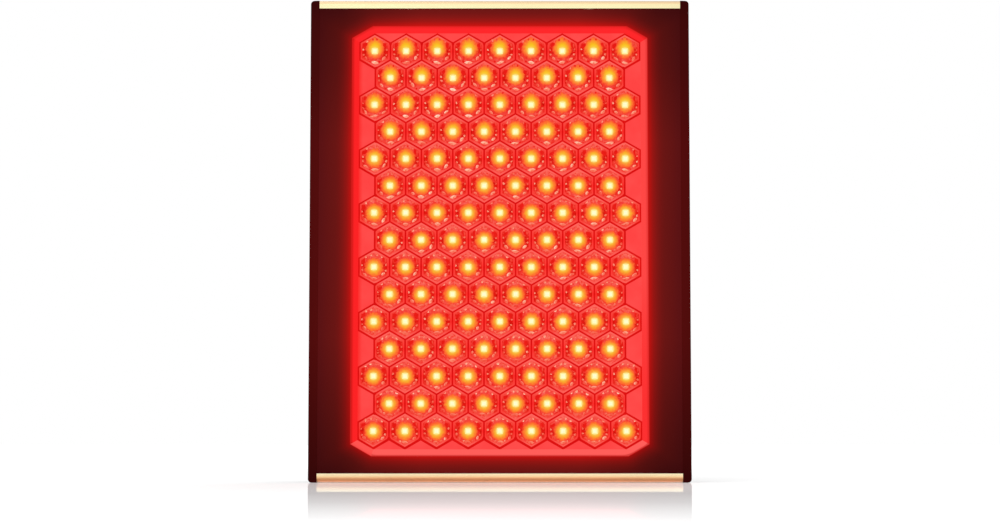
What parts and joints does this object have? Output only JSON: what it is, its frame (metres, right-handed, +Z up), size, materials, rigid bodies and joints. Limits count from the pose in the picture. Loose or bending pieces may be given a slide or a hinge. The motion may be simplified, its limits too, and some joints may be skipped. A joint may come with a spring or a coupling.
{
  "type": "red light therapy panel",
  "caption": "Upright slab of lit hexagonal lenses in a chamfered window, between dark side rails and gold end strips, with a folding rear stand.",
  "frame": {"origin": "middle of the base, under the centre of the slab's depth", "axes": "+Z up, +Y out of the back, the lit front faces -Y, +X to the right as the front is viewed"},
  "size_m": [0.242, 0.06, 0.3074],
  "materials": {
    "rail": "black anodised, satin",
    "gold_trim": "champagne anodised, satin",
    "face": "satin black lacquer",
    "reflector": "white moulded, lit red",
    "lens": "clear moulded acrylic, lit red",
    "rubber": "matt",
    "led_board": "white solder mask on aluminium core",
    "thermal_sheet": "matt silicone",
    "bare_aluminium": "mill finish",
    "coated_steel": "fine-textured black powder coat",
    "plated_steel": "zinc plated",
    "black_plastic": "moulded",
    "smoked_window": "smoked acrylic",
    "control_board": "green solder mask",
    "button": "moulded",
    "lead": "PVC sheath"
  },
  "bodies": {
    "housing": {"side_rail_left": "rail", "side_rail_right": "rail", "trim_strip_top": "gold_trim", "trim_strip_bottom": "gold_trim", "top_plate": "rail", "bottom_plate": "rail", "foot_pad_front_left": "rubber", "foot_pad_front_right": "rubber", "foot_pad_rear_left": "rubber", "foot_pad_rear_right": "rubber", "front_frame": "face", "window_bezel": "reflector", "lens_array": "lens", "lens_seal": "rubber", "led_board": "led_board", "thermal_sheet": "thermal_sheet", "heat_sink": "bare_aluminium", "rear_cover": "coated_steel", "cover_screw_1": "plated_steel", "cover_screw_2": "plated_steel", "cover_screw_3": "plated_steel", "cover_screw_4": "plated_steel", "cover_screw_5": "plated_steel", "cover_screw_6": "plated_steel", "fan_frame_left": "black_plastic", "fan_frame_right": "black_plastic", "fan_guard_left": "coated_steel", "fan_guard_right": "coated_steel", "driver_case": "bare_aluminium", "driver_bracket": "plated_steel", "mains_inlet": "black_plastic", "inlet_pin_live": "plated_steel", "inlet_pin_neutral": "plated_steel", "inlet_pin_earth": "plated_steel", "switch_body": "black_plastic", "display_window": "smoked_window", "display_module": "black_plastic", "control_board": "control_board", "control_carrier": "black_plastic", "mains_lead": "lead", "driver_lead": "lead", "led_lead": "lead", "stand_bracket_left": "rail", "stand_bracket_right": "rail", "hinge_pin_left": "plated_steel", "hinge_pin_right": "plated_steel"},
    "left_fan": {"fan_rotor_left": "black_plastic"},
    "right_fan": {"fan_rotor_right": "black_plastic"},
    "stand": {"stand_leg_left": "rail", "stand_leg_right": "rail", "stand_bar": "rail", "stand_foot": "rubber"},
    "rocker": {"switch_rocker": "black_plastic"},
    "timer_key": {"button_timer": "button"},
    "mode_key": {"button_mode": "button"},
    "power_key": {"button_power": "button"}
  },
  "joints": [
    {"name": "left_fan_spin", "type": "hinge", "parent": "housing", "child": "left_fan", "pos_m": [-0.05, 0.015, 0.19], "axis": [0, 1, 0], "continuous": true},
    {"name": "right_fan_spin", "type": "hinge", "parent": "housing", "child": "right_fan", "pos_m": [0.05, 0.015, 0.19], "axis": [0, 1, 0], "continuous": true},
    {"name": "stand_fold", "type": "hinge", "parent": "housing", "child": "stand", "pos_m": [0, 0.0275, 0.26338], "axis": [1, 0, 0], "range_deg": [0, 35]},
    {"name": "rocker_tip", "type": "hinge", "parent": "housing", "child": "rocker", "pos_m": [-0.034, 0.0253, 0.036], "axis": [1, 0, 0], "range_deg": [-16, 0]},
    {"name": "timer_press", "type": "slide", "parent": "housing", "child": "timer_key", "axis": [0, -1, 0], "range_m": [0, 0.001], "stiffness_N_per_m": 300},
    {"name": "mode_press", "type": "slide", "parent": "housing", "child": "mode_key", "axis": [0, -1, 0], "range_m": [0, 0.001], "stiffness_N_per_m": 300},
    {"name": "power_press", "type": "slide", "parent": "housing", "child": "power_key", "axis": [0, -1, 0], "range_m": [0, 0.001], "stiffness_N_per_m": 300}
  ]
}
